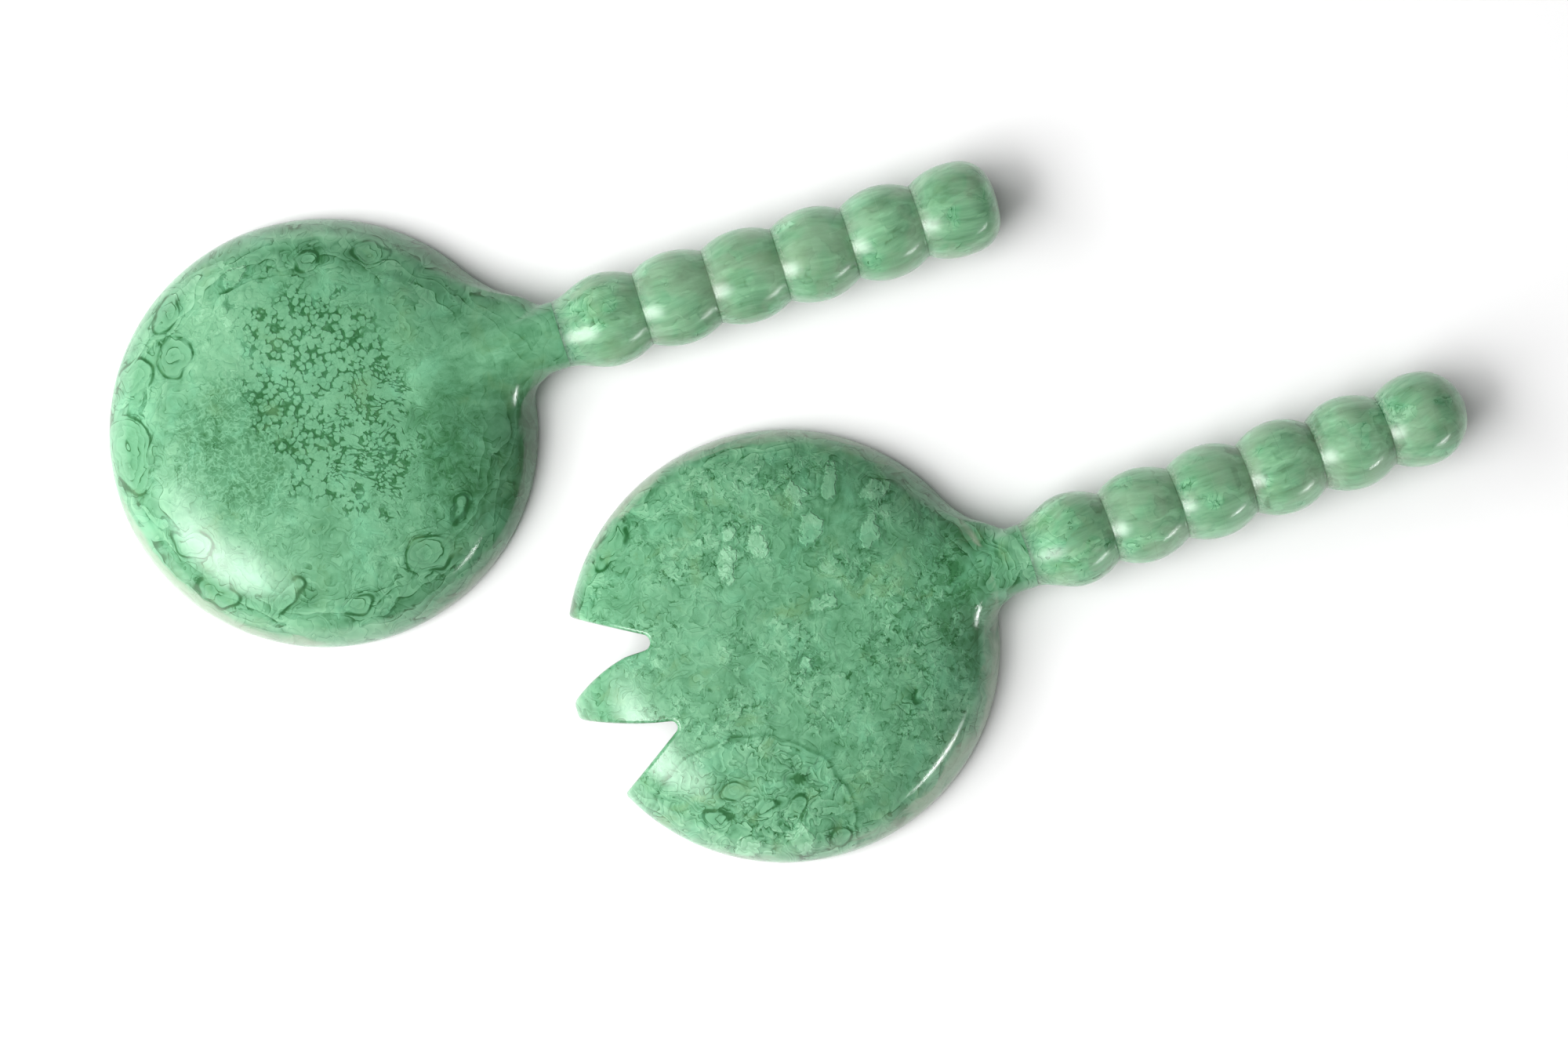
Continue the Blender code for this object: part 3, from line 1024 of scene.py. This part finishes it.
    def net(self):
        """A net of pale threads over deeper resin."""
        netted = self.step(self.add(self.field("net"), self.ragged), 0.25, 0.75)
        thread = self.math("ABSOLUTE", self.centred(self.noise(self.crumbled, 1.7, 1.0), 1.0))
        thread = self.step(thread, 0.09, 0.01)
        self.lighten(netted, self.math("SUBTRACT", self.times(thread, 0.20), 0.14))

    def clots(self):
        """Bright patches with ragged edges, each with a faint shadow round it."""
        coarse = self.centred(self.noise(self.flat, 5.0, 0.0), 3.0)
        small = self.centred(self.noise(self.warped(self.flat, 2.6, 1.2), 1.8, 2.0), 4.0)
        away = self.add(self.field("clot"), coarse, small)
        bright = self.step(away, 0.35, -0.15)
        shadow = self.times(self.step(away, 0.3, 0.9), self.step(away, 2.2, 1.0), -0.12)
        self.lighten(bright, 0.24)
        self.lighten(shadow)
        self.lift(bright, 0.35)

    def eyes(self):
        """Smooth clots in thin broken rings, dark along part of their edges, with a soft painted
        shadow beyond that part. Returns where.
        """
        wide = self.centred(self.noise(self.flat, 11, 0.0), 5.0)
        narrow = self.centred(self.noise(self.flat, 4.5, 0.0), 3.0)
        away = self.add(self.field("eye"), self.add(wide, narrow))
        within = self.step(away, 0.4, -0.4)
        near = self.step(away, 4.5, 0.0)
        outline = self.times(self.step(away, -0.45, 0.05), self.step(away, 0.8, 0.2))
        painted_shadow = self.times(self.step(away, -0.1, 0.3), self.step(away, 2.6, 0.3))
        rings = self.add(away, self.centred(self.noise(self.curled, 8.0, 1.0), 8.0))
        ring, line = self.terraces(rings, 0.55, 0.22)
        broken = self.step(self.noise(self.flat, 4.5, 1.0), 0.46, 0.56)
        part_dark = self.step(self.noise(self.flat, 7.0, 1.0), 0.40, 0.56)
        self.quieten(self.without(within, 0.7))
        self.lighten(self.centred(ring, 0.14), near)
        self.lighten(outline, part_dark, -0.50)
        # Painted shadow: a soft dark band just outside part of each clot's edge.
        self.lighten(painted_shadow, part_dark, -0.16)
        self.lighten(line, near, broken, -0.52)
        self.lift(within, 0.4)
        self.lift(ring, near, 0.3)
        return within

    def colour(self, within_eyes):
        """The tone's colours, with sparse pigment at the rim in bands that run round it."""
        veil = self.centred(self.noise(self.along_rim, 6.0, 3.0, 0.6), 1.5)
        sparse = self.step(self.add(self.field("sparse"), veil), 0.40, 0.85)
        sparse = self.times(sparse, self.without(within_eyes, 0.8))
        pigment = self.hues(self.ramp(self.tone, MINT), self.swirled, self.server.olive)
        return self.mix(self.times(sparse, 0.7), pigment, CLEAR)


def head_resin(server):
    marbling = HeadMarbling(server)
    marbling.clouds()
    marbling.long_streaks()
    marbling.folded_sheets()
    marbling.crumbs()
    marbling.rim_bands()
    marbling.neck_fan()
    marbling.pour_line()
    marbling.grains()
    marbling.net()
    marbling.clots()
    colour = marbling.colour(marbling.eyes())
    return marbling.finish(
        colour,
        relief_height=0.0005,
        sanding=(2.2, 0.5, 2.0),
        sanding_depth=0.000015,
        coat_roughness=0.13,
    )


class HandleMarbling(Marbling):
    """A handle's marbling, with a method for each kind of pigment."""

    def __init__(self, server):
        shift = tuple(value + 90 for value in server.pattern_shift)
        super().__init__(f"{server.name}_handle_resin", shift, HANDLE_TONE)
        self.server = server
        self.past_crease = self.field("crease")

    def bands_and_streaks(self):
        """Pigment drawn out along the handle, in broad bands and fine streaks."""
        bent = self.warped(self.warped(self.place, 26, 9, 0.0), 8, 1.6)
        broad = self.noise(self.scaled(bent, (0.18, 1.0, 1.0)), 3.4, 2.0, 0.5)
        streak = self.noise(self.scaled(bent, (0.10, 1.0, 1.0)), 1.0, 3.0, 0.6)
        cloud = self.noise(self.warped(self.place, 12, 14), 13, 2.0)
        self.lighten(self.centred(broad, 0.90))
        self.lighten(self.centred(streak, 0.60))
        self.lighten(self.centred(cloud, 0.30))
        self.lift(streak, 0.2)

    def pale_sheets(self):
        """Paler sheets of pigment with a dark line along part of their edges."""
        bent = self.warped(self.warped(self.place, 9, 9), 3, 1.6)
        sheet = self.noise(self.scaled(bent, (0.34, 1, 1)), 5.0, 2.0, 0.5)
        pale = self.step(sheet, 0.53, 0.57)
        edge = self.times(self.step(sheet, 0.505, 0.53), self.step(sheet, 0.555, 0.535))
        partly = self.step(self.noise(self.place, 4.0, 1.0), 0.44, 0.58)
        self.lighten(pale, 0.13)
        self.lighten(edge, partly, -0.13)

    def folds_by_head(self):
        """Opaque mint folds, most of them in the bead beside the head. Returns where they are."""
        curled = self.warped(self.warped(self.place, 6, 8), 2.0, 1.6)
        fold, line = self.terraces(self.noise(curled, 7, 2.0), 8.0, 0.16)
        x, _, _ = self.parts(self.place)
        near_head = self.times(self.step(x, 92, 74), 0.24)
        folded = self.step(self.add(self.noise(self.place, 9, 1.0), near_head), 0.58, 0.66)
        self.lighten(self.add(fold, -0.2), folded, 0.24)
        self.lighten(line, folded, -0.30)
        self.lift(fold, folded, 0.3)
        return folded

    def creases(self):
        """Painted light on the half of each bead that leads into a crease, where it turns from the
        lamps; painted shade just before each crease and a thin dark line in it; and a frosted
        broken band after it.

        Returns where the band is.
        """
        past = self.past_crease
        painted_light = self.times(self.step(past, -9.0, -2.5), self.step(past, -0.3, -1.2))
        before = self.times(self.step(past, -3.2, -0.3), self.step(past, 0.25, 0.0))
        line = self.times(self.step(past, -0.22, -0.04), self.step(past, 0.22, 0.04))
        after = self.times(self.step(past, 0.15, 0.5), self.step(past, 2.2, 0.8))
        rough = self.noise(self.scaled(self.place, (1.6, 1.0, 1.0)), 0.9, 3.0, 0.7)
        frosted = self.times(after, self.step(rough, 0.46, 0.64))
        # Painted light: lightens the half of each bead that leads into the next crease, which is
        # turned from the lamps.
        self.lighten(painted_light, 0.12)
        # Painted shade: darker just before each crease.
        self.lighten(before, -0.06)
        # Painted shade: a thin dark line in each crease.
        self.lighten(line, -0.34)
        self.lift(frosted, 0.4)
        return frosted

    def dark_flakes(self):
        """Square dark flakes beside the creases."""
        square = self.scaled(self.place, (1.0, 0.8, 0.8))
        flake = self.cells(square, 4.4, "F1", "Color", "CHEBYCHEV")
        near_crease = self.times(
            self.step(self.past_crease, -4.6, -3.8), self.step(self.past_crease, 3.4, 2.6)
        )
        flake = self.times(self.step(flake, 0.72, 0.75), near_crease, self.server.flakes)
        self.lighten(flake, -0.24)

    def colour(self, folded, frosted):
        """The tone's colours, seen through more clear resin in some places than in others."""
        pigment = self.hues(self.ramp(self.tone, MINT), self.warped(self.place, 16, 24, 2.0), 0.5)
        clear = self.noise(self.warped(self.place, 9, 12), 10, 2.0)
        clear = self.times(self.step(clear, 0.40, 0.66), 0.26)
        clear = self.add(0.20, clear, self.times(folded, -0.2))
        return self.mix(self.times(frosted, 0.26), self.mix(clear, pigment, CLEAR), FROSTED)


def handle_resin(server):
    marbling = HandleMarbling(server)
    marbling.bands_and_streaks()
    marbling.pale_sheets()
    folded = marbling.folds_by_head()
    frosted = marbling.creases()
    marbling.dark_flakes()
    marbling.set_shader("Subsurface Weight", 1.0)
    marbling.set_shader("Subsurface Radius", (0.7, 1.0, 0.75))
    marbling.set_shader("Subsurface Scale", 0.02)
    return marbling.finish(
        marbling.colour(folded, frosted),
        relief_height=0.0003,
        sanding=(3.0, 0.3, 0.3),
        sanding_depth=0.00004,
        coat_roughness=0.19,
    )


# Set ------------------------------------------------------------------------------------------


def plain(name, colour, roughness):
    material = bpy.data.materials.new(name)
    material.use_nodes = True
    shader = material.node_tree.nodes["Principled BSDF"]
    shader.inputs["Base Color"].default_value = (*colour, 1)
    shader.inputs["Roughness"].default_value = roughness
    return material


def table_top():
    mesh = bpy.data.meshes.new("table_top")
    corners = [(x * TABLE_HALF, y * TABLE_HALF, 0) for x, y in ((-1, -1), (1, -1), (1, 1), (-1, 1))]
    mesh.from_pydata(corners, [], [(0, 1, 2, 3)])
    floor = bpy.data.objects.new("table_top", mesh)
    floor.location = (0, 0, -TABLE_DROP)
    bpy.context.scene.collection.objects.link(floor)
    mesh.materials.append(plain("table_white", (0.79, 0.79, 0.79), 0.6))
    floor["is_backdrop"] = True


def faded_edges(data):
    """Makes an area light brightest in its middle, so that its reflection has no edge."""
    data.use_nodes = True
    tree = data.node_tree
    emission = tree.nodes["Emission"]
    place = tree.nodes.new("ShaderNodeNewGeometry")
    away = tree.nodes.new("ShaderNodeVectorMath")
    away.operation = "DISTANCE"
    tree.links.new(place.outputs["Parametric"], away.inputs[0])
    away.inputs[1].default_value = (0.5, 0.5, 0.0)
    fade = tree.nodes.new("ShaderNodeMapRange")
    fade.interpolation_type = "SMOOTHERSTEP"
    tree.links.new(away.outputs["Value"], fade.inputs["Value"])
    fade.inputs["From Min"].default_value = 0.5
    fade.inputs["From Max"].default_value = 0.0
    fade.inputs["To Min"].default_value = 0.0
    fade.inputs["To Max"].default_value = 3.5
    tree.links.new(fade.outputs["Result"], emission.inputs["Strength"])


def soft_light(name, direction, distance, size, power, glossy=True, diffuse=True):
    """An area light that shines on the origin from a direction."""
    data = bpy.data.lights.new(name, "AREA")
    data.shape = "RECTANGLE"
    data.size, data.size_y = size
    data.energy = power
    if glossy:
        faded_edges(data)
    light = bpy.data.objects.new(name, data)
    toward = Vector(direction).normalized()
    light.location = toward * distance
    light.rotation_euler = toward.to_track_quat("Z", "Y").to_euler()
    light.visible_glossy = glossy
    light.visible_diffuse = diffuse
    bpy.context.scene.collection.objects.link(light)


def light_direction(picture_angle, height):
    """A direction from its angle as the camera sees it and its angle above the table."""
    angle = math.radians(picture_angle) + CAMERA_ROLL
    rise = math.radians(height)
    return (math.cos(rise) * math.cos(angle), math.cos(rise) * math.sin(angle), math.sin(rise))


def lights():
    soft_light("window", light_direction(219, 38), LIGHT_DISTANCE, (1.6, 1.6), 33, diffuse=False)
    soft_light("key", light_direction(207, 38), LIGHT_DISTANCE, (1.3, 1.3), 34, glossy=False)
    soft_light("overhead", light_direction(200, 70), LIGHT_DISTANCE, (1.2, 1.2), 14, glossy=False)
    soft_light("left", light_direction(165, 28), LIGHT_DISTANCE, (0.8, 0.8), 14, glossy=False)
    soft_light("strip", light_direction(-38, 8), 1.4, (1.0, 0.07), 5)
    world = bpy.data.worlds.new("studio")
    world.use_nodes = True
    background = world.node_tree.nodes["Background"]
    background.inputs["Color"].default_value = (1, 1, 1, 1)
    background.inputs["Strength"].default_value = WORLD_STRENGTH
    bpy.context.scene.world = world
    bpy.context.scene.view_settings.view_transform = "Standard"


def camera():
    data = bpy.data.cameras.new("camera")
    data.sensor_width = SENSOR
    data.lens = SENSOR * CAMERA_HEIGHT / VIEW_WIDTH
    data.clip_end = 20
    cam = bpy.data.objects.new("camera", data)
    cam.location = (CAMERA_X, CAMERA_Y, CAMERA_HEIGHT)
    cam.rotation_euler = (0, 0, CAMERA_ROLL)
    bpy.context.scene.collection.objects.link(cam)
    bpy.context.scene.camera = cam


def main():
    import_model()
    low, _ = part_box("spoon_head")
    spoon = Vector((low.x + SPOON.head_radius, low.y + SPOON.head_radius, 0))
    fork = spoon + Vector((FORK_FORWARD, FORK_SIDEWAYS, 0))
    for server, centre, turn in ((SPOON, spoon, 0.0), (FORK, fork, FORK_TURN)):
        place = Matrix.Translation(centre) @ Matrix.Rotation(turn, 4, "Z")
        points, faces, normals = head_mesh(server)
        head = mesh_object(f"{server.name}_head_casting", points, faces.tolist(), normals)
        add_head_fields(head, server, points)
        head.data.materials.append(head_resin(server))
        points, faces, past_crease = handle_mesh(server)
        handle = mesh_object(f"{server.name}_handle_casting", points, faces, None)
        add_field(handle, "crease", past_crease / MM)
        handle.data.materials.append(handle_resin(server))
        for piece, part in ((head, "head"), (handle, "handle")):
            piece.matrix_world = place
            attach(piece, server.name)
            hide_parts(f"{server.name}_{part}")
    table_top()
    lights()
    camera()
    low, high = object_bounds()


main()
